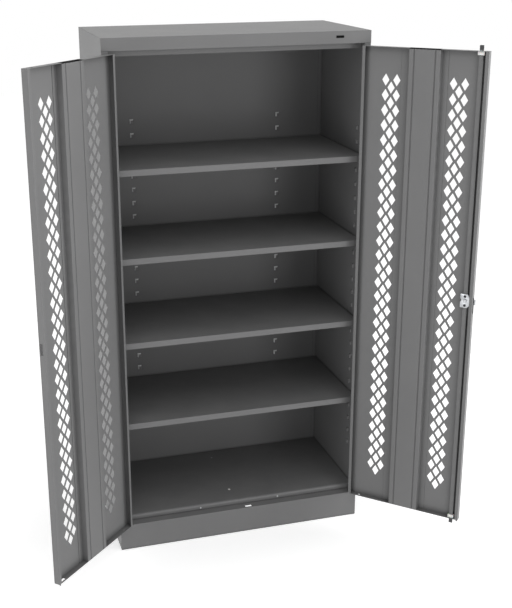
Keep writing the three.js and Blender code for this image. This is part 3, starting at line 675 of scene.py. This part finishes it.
# The continuous hinges are rolled from thin strip round a long drawn wire. One leaf is welded to
# the jamb and one to the door's edge. The leaves are painted with the body, the wire stays bright.
pin_low, pin_high = node_box("hinge_pin_right")
hinge_axis = (pin_low + pin_high) / 2
wire_radius = (pin_high.x - pin_low.x) / 2
wire_tip_radius = 0.6 * wire_radius
wire_tip = 0.0004
wire_rings = [
    (wire_tip_radius, pin_low.z),
    (wire_radius, pin_low.z + wire_tip),
    (wire_radius, pin_high.z - wire_tip),
    (wire_tip_radius, pin_high.z),
]
knuckle_pairs = 33
knuckle_pitch = (pin_high.z - pin_low.z) / knuckle_pairs / 2
knuckle_gap = 0.0004
knuckle_ring = 0.00205
knuckle_wrap = 295
leaf_wall = 0.0009
leaf_deep = 0.0198
leaf_offset = 0.00075
leaf_clear = 0.0008
weld_gap = 0.00002
hair = 0.0001


def cut_across(spot, way, **settings):
    """Cuts the whole piece by a plane through a spot, square to a way."""
    bpy.ops.mesh.select_all(action="SELECT")
    bpy.ops.mesh.bisect(plane_co=spot, plane_no=way, **settings)


def roll_leaf(name, first):
    """A leaf beside the hinge's axis, with every other knuckle from the first or the second."""
    start = Vector((leaf_offset, knuckle_ring + leaf_clear, 0))
    tangent = knuckle_ring * Vector((1, 1, 0)).normalized()
    middle = (leaf_offset, (start.y + leaf_deep) / 2, pin_low.z + knuckle_pitch)
    bpy.ops.mesh.primitive_plane_add(size=1, location=middle, rotation=(0, math.radians(90), 0))
    leaf = bpy.context.object
    leaf.scale = (2 * knuckle_pitch, leaf_deep - start.y, 1)
    open_piece(name)
    low = pin_low.z + first * knuckle_pitch + knuckle_gap / 2
    high = low + knuckle_pitch - knuckle_gap
    for cut in (low, high):
        cut_across((0, 0, cut), (0, 0, 1))
    pick_edges(
        lambda spot, way: abs(way.z) > squarely and spot.y < start.y + hair and low < spot.z < high
    )
    bpy.ops.mesh.extrude_region_move(TRANSFORM_OT_translate={"value": tangent - start})
    bpy.ops.mesh.spin(
        steps=12, angle=math.radians(-knuckle_wrap), center=(0, 0, 0), axis=(0, 0, 1)
    )
    bpy.ops.mesh.select_all(action="SELECT")
    bpy.ops.mesh.remove_doubles(threshold=weld_gap)
    bpy.ops.mesh.normals_make_consistent(inside=False)
    bpy.ops.object.mode_set(mode="OBJECT")
    apply_modifier(
        leaf,
        "ARRAY",
        count=knuckle_pairs,
        use_relative_offset=False,
        use_constant_offset=True,
        constant_offset_displace=(0, 0, 2 * knuckle_pitch),
        use_merge_vertices=True,
        merge_threshold=weld_gap,
    )
    apply_modifier(leaf, "SOLIDIFY", thickness=leaf_wall, offset=0)
    return leaf


mirror = Matrix.Diagonal((-1, 1, 1, 1))
left_axis = Matrix.Translation((-hinge_axis.x, hinge_axis.y, 0))
left_swing = left_axis @ Matrix.Rotation(math.radians(-door_open), 4, "Z")
frame_leaf = roll_leaf("frame_leaf", 0)
door_leaf = roll_leaf("door_leaf", 1)
wire = raise_rings("hinge_wire", wire_rings, sides=16)
for side, flip in (("left", Matrix.Identity(4)), ("right", mirror)):
    twin = copy_piece(frame_leaf, "rolled_frame_leaf_" + side)
    settle(twin, flip @ left_axis @ mirror)
    dress(twin, powder_coat, "painted_steel", "body", "hinge_frame_leaf_" + side)
    twin = copy_piece(door_leaf, "rolled_door_leaf_" + side)
    settle(twin, flip @ left_swing)
    dress(twin, powder_coat, "painted_steel", side + "_door", "hinge_door_leaf_" + side)
    twin = copy_piece(wire, "hinge_wire_" + side)
    settle(twin, flip @ left_axis)
    dress(twin, zinc, "zinc_steel", "body", "hinge_pin_" + side)
for spare in (frame_leaf, door_leaf, wire):
    bpy.data.objects.remove(spare)

# The latch's rods are flat steel bars cropped from strip, rounded at the cam and narrowed where
# they slide through the guides. They are painted with the door, and their colour turns dark at the
# tips.
door_edge = (0.0015, -0.0023, 0)
door_place = (
    Matrix.Translation((hinge_axis.x, hinge_axis.y, 0))
    @ Matrix.Rotation(math.radians(door_open - 180), 4, "Z")
    @ Matrix.Translation(door_edge)
)
latch_along = 0.4025
spindle_low, spindle_high = node_box("spindle")
latch_height = (spindle_low.z + spindle_high.z) / 2
rod_tips = {"upper_rod": node_box("upper_rod")[1].z, "lower_rod": node_box("lower_rod")[0].z}
rod_arm = 0.0163
rod_deep = 0.012
rod_wide = 0.015
rod_thick = 0.003
rod_round_share = 0.495
rod_chamfer = 0.0015
rod_edge = 0.0004
narrowed_wide = 0.0136
narrowed_length = 0.048
shoulder_length = 0.0007
tip_dark = (0.055, 0.055, 0.057, 1)
tip_dark_from = (0.8340, 0.8440)


def make_rod_coat():
    """The powder coat, turning dark at both far ends of the pair of rods."""
    coat = start_coat("rod coat with dark tips", clouds=40)
    place = coat.tree.nodes.new("ShaderNodeTexCoord").outputs["Object"]
    height = add_node(coat.tree, "ShaderNodeSeparateXYZ", Vector=place).outputs["Z"]
    centred = work_out(coat.tree, "SUBTRACT", height, latch_height)
    marked = map_share(coat.tree, work_out(coat.tree, "ABSOLUTE", centred), 0, 1, *tip_dark_from)
    tipped = blend_colours(coat.tree, marked, lay_grey(coat), tip_dark)
    return close_finish(coat, tipped, rough=(0.38, 0.50), depth=peel_depth, strength=0.3)


def make_rod(name, tip):
    """A bar from its pin on the cam to its tip, above or below the latch."""
    way = 1 if tip > latch_height else -1
    end = latch_height + way * (rod_arm - rod_wide / 2)
    middle = (latch_along, -rod_deep, (tip + end) / 2)
    rod = open_block(name + "_bar", middle, (rod_wide, rod_thick, abs(tip - end)))
    for length in (narrowed_length, narrowed_length - shoulder_length):
        cut_across((0, 0, tip - way * length), (0, 0, 1))
    pick_faces(lambda middle, normal: (tip - middle.z) * way < narrowed_length - shoulder_length)
    bpy.ops.transform.resize(
        value=(narrowed_wide / rod_wide, 1, 1), center_override=(latch_along, -rod_deep, tip)
    )
    pick_edges(lambda middle, along: abs(along.y) > squarely and abs(middle.z - tip) < hair)
    bpy.ops.mesh.bevel(offset=rod_chamfer, segments=2, affect="EDGES")
    pick_edges(lambda middle, along: abs(along.y) > squarely and abs(middle.z - end) < hair)
    bpy.ops.mesh.bevel(offset=rod_round_share * rod_wide, segments=10, affect="EDGES")
    bpy.ops.object.mode_set(mode="OBJECT")
    apply_modifier(rod, "BEVEL", width=rod_edge, segments=2)
    settle(rod, door_place)
    return rod


rod_coat = make_rod_coat()
for name, body in (("upper_rod", "rod_up"), ("lower_rod", "rod_down")):
    dress(make_rod(name, rod_tips[name]), rod_coat, "painted_steel", body, name)

# Each rod slides in a bush moulded in natural nylon, which is pushed through the door's end
# flange until its wider part meets it.
guide_wide = (0.0218, 0.0102)
guide_neck = (0.0204, 0.0088)
guide_bore = (0.0192, 0.0036)
guide_height = 0.0115
guide_lip = 0.001
guide_edge = 0.0003
flange_gap = 0.0012
door_ends = {
    "upper_rod_guide": (node_box("upper_rod_guide")[1].z - guide_lip, 1),
    "lower_rod_guide": (node_box("lower_rod_guide")[0].z + guide_lip, -1),
}


def step_in(size, next_size, hub):
    """Sets the chosen end in from one width and depth to the next."""
    bpy.ops.mesh.inset(thickness=hair)
    shares = [after / (before - 2 * hair) for before, after in zip(size, next_size)]
    bpy.ops.transform.resize(value=(*shares, 1), center_override=hub)


def make_guide(name, flange, way):
    """A bush with its neck through a flange, opened from end to end by its bore."""
    hub = (latch_along, -rod_deep, flange)
    outer = flange + way * guide_lip
    inner = flange - way * (flange_gap + guide_height)
    reach = guide_bore[1] / 2
    middle = (latch_along, -rod_deep, flange - way * (flange_gap + guide_height / 2))
    guide = open_block(name.replace("guide", "bush"), middle, (*guide_wide, guide_height))
    pick_faces(lambda middle, normal: normal.z * way > squarely)
    step_in(guide_wide, guide_neck, hub)
    step = (0, 0, way * (flange_gap + guide_lip))
    bpy.ops.mesh.extrude_region_move(TRANSFORM_OT_translate={"value": step})
    step_in(guide_neck, guide_bore, hub)
    pick_faces(lambda middle, normal: normal.z * way < -squarely)
    step_in(guide_wide, guide_bore, hub)

    def in_bore(middle, normal):
        at_end = abs(middle.z - outer) < hair or abs(middle.z - inner) < hair
        return at_end and abs(middle.x - latch_along) < reach and abs(middle.y + rod_deep) < hair

    pick_faces(in_bore)
    bpy.ops.mesh.bridge_edge_loops()
    bpy.ops.object.mode_set(mode="OBJECT")
    apply_modifier(guide, "BEVEL", width=guide_edge, segments=2)
    settle(guide, door_place)
    return guide


for name, (flange, way) in door_ends.items():
    dress(make_guide(name, flange, way), nylon, "nylon", "right_door", name)

# The cam is a thick steel plate, blanked with a notch and cut corners and zinc plated. The rods
# hang on it by blackened steel rivets with hollow ends, and a hexagon nut holds it on the spindle.
# Heights are measured outward from the door's outer face, so they are below zero inside the door.
latch_place = (
    door_place
    @ Matrix.Translation((latch_along, 0, latch_height))
    @ Matrix.Rotation(math.radians(-90), 4, "X")
)
cam_near = 0.0138
cam_thick = 0.0036
cam_half = (0.0165, 0.0245)
cam_notch = (0.0085, 0.0045, -0.0007, -0.0047)
cam_notch_deep = 0.004
cam_top_cut = (0.007, 0.012)
cam_bottom_cut = (0.009, 0.009)
cam_back_round = 0.003
cam_front_round = 0.0015
cam_edge = 0.0004
pin_black = (0.022, 0.022, 0.024, 1)
pin_cloud = (0.0308, 0.0308, 0.0336, 1)
pin_worn = (0.066, 0.066, 0.072, 1)
pin_clear = 0.0003
pin_near = rod_thick / 2 - rod_deep + pin_clear
pin_far = -cam_near - cam_thick - pin_clear
pin_shank = 0.0030
pin_head = 0.0046
pin_head_side = 0.0006
pin_head_thick = 0.0010
pin_rings = [
    (0.0040, pin_near + pin_head_thick),
    (pin_head, pin_near + pin_head_side),
    (pin_head, pin_near),
    (pin_shank, pin_near),
    (pin_shank, pin_far),
    (pin_head, pin_far),
    (pin_head, pin_far - pin_head_side),
    (0.0042, pin_far - pin_head_thick),
    (0.0036, pin_far - pin_head_thick),
    (0.0032, pin_far - 0.0007),
    (0.0029, pin_far - 0.0001),
]
nut_rings = [
    (0.0060, -0.0180),
    (0.0070, -0.0185),
    (0.0070, -0.0208),
    (0.0061, -0.0214),
    (0.0042, -0.0214),
    (0.0037, -0.0210),
]


def make_blackened_steel():
    steel = start_finish(
        "blackened steel", peel=2200, clouds=200, reach=0.0004, patches=500, Specular_IOR_Level=0.2
    )
    marked = wear_and_highlight_edges(steel, cloud_over(steel, pin_black, pin_cloud), pin_worn)
    return close_finish(steel, marked, rough=(0.45, 0.6), depth=0.00002, strength=0.4)


cam_middle = (0, 0, -cam_near - cam_thick / 2)
cam = open_block("latch_cam_plate", cam_middle, (2 * cam_half[0], 2 * cam_half[1], cam_thick))
for level in cam_notch:
    cut_across((0, -level, 0), (0, 1, 0))
pick_faces(
    lambda middle, normal: normal.x < -squarely and -cam_notch[1] < middle.y < -cam_notch[2]
)
bpy.ops.transform.translate(value=(cam_notch_deep, 0, 0))
for way, (across, up) in ((-1, cam_top_cut), (1, cam_bottom_cut)):
    corner = (cam_half[0] - across, way * cam_half[1], 0)
    slope = Vector((up, way * across, 0)).normalized()
    cut_across(corner, slope, use_fill=True, clear_outer=True)
pick_edges(
    lambda middle, way: abs(way.z) > squarely
    and middle.x < 0
    and abs(middle.y) > cam_half[1] - hair
)
bpy.ops.mesh.bevel(offset=cam_back_round, segments=4, affect="EDGES")
pick_edges(lambda middle, way: abs(way.z) > squarely and middle.x > 0)
bpy.ops.mesh.bevel(offset=cam_front_round, segments=3, affect="EDGES")
bpy.ops.object.mode_set(mode="OBJECT")
apply_modifier(cam, "BEVEL", width=cam_edge, segments=2, angle_limit=math.radians(50))
settle(cam, latch_place)
dress(cam, zinc, "zinc_steel", "latch", "latch_cam")

blackened = make_blackened_steel()
for name, way in (("upper_rod_pin", -1), ("lower_rod_pin", 1)):
    pin = raise_rings(name.replace("pin", "rivet"), pin_rings, sides=32)
    settle(pin, latch_place @ Matrix.Translation((0, way * rod_arm, 0)))
    dress(pin, blackened, "zinc_steel", "latch", name)

nut = raise_rings("hexagon_nut", nut_rings, sides=6)
settle(nut, latch_place)
dress(nut, zinc, "zinc_steel", "latch", "spindle_nut")

# The spindle is a square steel bar with one end turned down and threaded for the nut. It carries
# the tongue, a blanked plate that locks the two doors together. Both are zinc plated.
spindle_side = 0.008
spindle_run = (-0.0177, 0.0216)
spindle_edge = 0.0005
thread_crest = 0.0034
thread_root = 0.0030
thread_turns = 5
thread_pitch = 0.0007
thread_run = (-0.0140, -0.0178, -0.0214)
thread_tip = 0.0029

spindle_middle = (0, 0, sum(spindle_run) / 2)
spindle_size = (spindle_side, spindle_side, spindle_run[1] - spindle_run[0])
spindle = open_block("square_spindle", spindle_middle, spindle_size)
bpy.ops.object.mode_set(mode="OBJECT")
apply_modifier(spindle, "BEVEL", width=spindle_edge, segments=2)
thread_rings = [(thread_crest, thread_run[0])]
for turn in range(thread_turns):
    height = thread_run[1] - turn * thread_pitch
    thread_rings += [(thread_crest, height), (thread_root, height - thread_pitch / 2)]
thread_rings += [(thread_tip, thread_run[2])]
thread = raise_rings("spindle_thread", thread_rings, sides=32)
spindle = join_pieces([spindle, thread])
settle(spindle, latch_place)
dress(spindle, zinc, "zinc_steel", "latch", "spindle")
finish_node("latch_tongue", zinc)

# The lever handle is a zinc casting, satin chrome plated. Its hub turns on a domed escutcheon that
# is held against the door's skin.
chrome_grey = (0.55, 0.56, 0.57, 1)
chrome_dull = (0.495, 0.504, 0.513, 1)
chrome_worn = (0.66, 0.672, 0.684, 1)
escutcheon_rings = [
    (0.0250, 0.0003),
    (0.0250, 0.0024),
    (0.0247, 0.0034),
    (0.0238, 0.0050),
    (0.0224, 0.0068),
    (0.0206, 0.0082),
    (0.0186, 0.0091),
    (0.0178, 0.0093),
    (0.0075, 0.0093),
    (0.0070, 0.0088),
    (0.0070, 0.0010),
]
hub_rings = [
    (0.0142, 0.0096),
    (0.0150, 0.0104),
    (0.0150, 0.0326),
    (0.0147, 0.0337),
    (0.0141, 0.0344),
    (0.0132, 0.0353),
    (0.0123, 0.0361),
    (0.0112, 0.0366),
    (0.0070, 0.0366),
    (0.0064, 0.0362),
    (0.0063, 0.0284),
]
lever_run = (0.0216, 0.0336)
lever_length = 0.105
lever_root = 0.024
lever_root_share = 0.7
lever_end = 0.017
lever_end_share = 0.8
lever_cuts = (0.030, 0.062, 0.090)
lever_hollow = 0.0016
lever_tip_round = 0.008
lever_edge = 0.0036


def make_satin_chrome():
    plating = start_finish(
        "satin chrome", peel=1200, clouds=30, reach=0.0008, patches=120, Metallic=1.0
    )
    marked = wear_and_highlight_edges(plating, cloud_over(plating, chrome_grey, chrome_dull), chrome_worn)
    return close_finish(plating, marked, rough=(0.20, 0.30), depth=0.00001, strength=0.15)


satin_chrome = make_satin_chrome()
escutcheon = raise_rings("domed_escutcheon", escutcheon_rings, sides=96)
settle(escutcheon, latch_place)
dress(escutcheon, satin_chrome, "plated_handle", "right_door", "handle_escutcheon")

hub = raise_rings("cast_lever", hub_rings, sides=96)
lever_middle = (0, lever_length / 2, sum(lever_run) / 2)
lever_size = (lever_root, lever_length, lever_run[1] - lever_run[0])
lever = open_block("lever_arm", lever_middle, lever_size)
pick_faces(lambda middle, normal: normal.y > squarely)
bpy.ops.transform.resize(value=(lever_end / lever_root, 1, lever_end_share))
for cut in lever_cuts:
    cut_across((0, cut, 0), (0, 1, 0))
pick_faces(
    lambda middle, normal: normal.z < -squarely and lever_cuts[0] < middle.y < lever_cuts[-1]
)
bpy.ops.transform.translate(value=(0, 0, lever_hollow))
pick_faces(lambda middle, normal: normal.y < -squarely)
bpy.ops.transform.resize(value=(lever_root_share, 1, 1))
pick_edges(lambda middle, way: abs(way.z) > squarely and middle.y > lever_length - hair)
bpy.ops.mesh.bevel(offset=lever_tip_round, segments=8, affect="EDGES")
bpy.ops.object.mode_set(mode="OBJECT")
apply_modifier(lever, "BEVEL", width=lever_edge, segments=5, angle_limit=math.radians(40))
lever = join_pieces([hub, lever])
settle(lever, latch_place)
dress(lever, satin_chrome, "plated_handle", "latch", "door_handle")

# The lock plug is turned steel, zinc plated, and sits in the handle's hub. A broached keyway
# crosses its face.
lock_face = 0.0376
lock_rings = [
    (0.0058, 0.0287),
    (0.0060, 0.0290),
    (0.0060, 0.0370),
    (0.0058, 0.0374),
    (0.0053, lock_face),
]
keyway = (0.0008, 0.0035)
keyway_deep = 0.0035

lock = raise_rings("turned_lock_plug", lock_rings, sides=64)
choose(lock)
bpy.ops.object.mode_set(mode="EDIT")
for spot, way in (
    ((keyway[0], 0, 0), (1, 0, 0)),
    ((-keyway[0], 0, 0), (1, 0, 0)),
    ((0, keyway[1], 0), (0, 1, 0)),
    ((0, -keyway[1], 0), (0, 1, 0)),
):
    pick_faces(lambda middle, normal: middle.z > lock_face - hair)
    bpy.ops.mesh.bisect(plane_co=spot, plane_no=way)
pick_faces(
    lambda middle, normal: middle.z > lock_face - hair
    and abs(middle.x) < keyway[0]
    and abs(middle.y) < keyway[1]
)
bpy.ops.mesh.extrude_region_move(TRANSFORM_OT_translate={"value": (0, 0, -keyway_deep)})
bpy.ops.object.mode_set(mode="OBJECT")
settle(lock, latch_place)
dress(lock, zinc, "zinc_steel", "lock", "lock_plug", angle=30)

# The floor is a plain pale sheet that keeps the cabinet's soft shadow and shows white. A card
# lies on it inside the cabinet's base, with a strong glow that paints light over the shade there,
# so that it shows white through the slot for the lower rod.
floor_size = 24
floor_centre = (0, 0, -0.0002)
floor_white = (0.94, 0.94, 0.94, 1)
floor_shade = (0.9306, 0.9306, 0.9306, 1)
floor_glow = 0.36
card_size = (0.80, 0.36)
card_centre = (0, 0.22, 0.0004)
# Painted light: the card glows near white although it lies in the cabinet's shade.
card_painted_light = 0.95


def show_to_camera(tree, unseen, seen, *rays):
    """One shader for the camera and the rays that are named, and another for all the rest."""
    path = tree.nodes.new("ShaderNodeLightPath").outputs
    share = path["Is Camera Ray"]
    for ray in rays:
        share = work_out(tree, "MAXIMUM", share, path[ray])
    shown = add_node(tree, "ShaderNodeMixShader", Fac=share)
    feed(tree, shown.inputs[1], unseen)
    feed(tree, shown.inputs[2], seen)
    return shown.outputs["Shader"]


def make_floor(name, strength):
    """A white sheet with a glow that is seen, also in reflections, but lights nothing."""
    sheet = start_material(name, Roughness=0.9, Specular_IOR_Level=0.1)
    tree = sheet.tree
    skin = place_group(tree, peel_group, Scale=60, Cloud_scale=1.2)
    pale = blend_colours(tree, map_share(tree, skin["Cloud"], 0, 1), floor_white, floor_shade)
    feed(tree, sheet.shader.inputs["Base Color"], pale)
    dark = add_node(tree, "ShaderNodeEmission", Strength=0.0).outputs["Emission"]
    glow = add_node(tree, "ShaderNodeEmission", Strength=strength).outputs["Emission"]
    total = tree.nodes.new("ShaderNodeAddShader")
    feed(tree, total.inputs[0], sheet.shader.outputs["BSDF"])
    feed(tree, total.inputs[1], show_to_camera(tree, dark, glow, "Is Glossy Ray"))
    feed(tree, tree.nodes["Material Output"].inputs["Surface"], total.outputs["Shader"])
    return sheet.material


bpy.ops.object.select_all(action="DESELECT")
bpy.ops.mesh.primitive_plane_add(size=floor_size, location=floor_centre)
floor = bpy.context.object
floor.name = "studio_floor"
floor.data.materials.append(make_floor("pale floor", floor_glow))

bpy.ops.object.select_all(action="DESELECT")
bpy.ops.mesh.primitive_plane_add(size=1, location=card_centre)
card = bpy.context.object
card.name = "glowing_card"
card.scale = (*card_size, 1)
bpy.ops.object.transform_apply(location=False, rotation=False, scale=True)
card.data.materials.append(make_floor("glowing card", card_painted_light))

# The studio: an even white surround, a broad soft lamp overhead, a strong one on the right and
# weak ones on the left and in front.
surround_white = (1, 1, 1, 1)
surround_level = 0.70
lamps = {
    "overhead": {"at": (0, -1.9, 4.8), "to": (0, 0, 0.6), "size": 3.5, "power": 46},
    "right": {"at": (4.5, -1.0, 1.4), "to": (0, 0, 1.0), "size": 2.5, "power": 126},
    "left": {"at": (-4.5, 0.4, 1.6), "to": (0, 0.2, 1.0), "size": 2.5, "power": 21},
    "left_front": {"at": (-3.6, -2.2, 0.5), "to": (0, 0, 0.4), "size": 1.6, "power": 36},
    "right_front": {"at": (1.6, -4.2, 0.9), "to": (0, 0, 0.9), "size": 1.6, "power": 28},
}

world = bpy.data.worlds.new("studio")
bpy.context.scene.world = world
world.use_nodes = True
tree = world.node_tree
surround = tree.nodes["Background"]
surround.inputs["Color"].default_value = surround_white
surround.inputs["Strength"].default_value = surround_level
white = add_node(tree, "ShaderNodeBackground", Color=surround_white, Strength=1.0)
shown = show_to_camera(
    tree,
    surround.outputs["Background"],
    white.outputs["Background"],
    "Is Glossy Ray",
    "Is Transmission Ray",
)
feed(tree, tree.nodes["World Output"].inputs["Surface"], shown)

for name, lamp in lamps.items():
    light = bpy.data.lights.new(name, "AREA")
    light.shape = "SQUARE"
    light.size = lamp["size"]
    light.energy = lamp["power"]
    holder = bpy.data.objects.new(name, light)
    holder.location = lamp["at"]
    aim = Vector(lamp["to"]) - Vector(lamp["at"])
    holder.rotation_euler = aim.to_track_quat("-Z", "Y").to_euler()
    bpy.context.collection.objects.link(holder)

# The camera stands where the photograph was taken, left of the middle and a little above the top
# of the cabinet. Its focal length and its shift are in pixels of the photograph.
camera_at = (-1.0295, -3.4482, 2.1396)
camera_turn = 16.19
camera_tilt = 18.455
camera_roll = -0.259
focal_pixels = 1085.86
photo_width = 512
photo_height = 608
middle_across = 233.4
middle_down = 295.1
sensor_width = 36

camera = bpy.data.objects.new("camera", bpy.data.cameras.new("camera"))
camera.data.sensor_width = sensor_width
camera.data.lens = focal_pixels / photo_height * sensor_width
camera.data.shift_x = (photo_width / 2 - middle_across) / photo_height
camera.data.shift_y = (middle_down - photo_height / 2) / photo_height
camera.location = camera_at
turned = Euler((math.radians(90 - camera_tilt), 0, math.radians(-camera_turn))).to_matrix()
rolled = turned @ Matrix.Rotation(math.radians(camera_roll), 3, "Z")
camera.rotation_euler = rolled.to_euler()
bpy.context.collection.objects.link(camera)
bpy.context.scene.camera = camera
bpy.context.scene.view_settings.view_transform = "Standard"
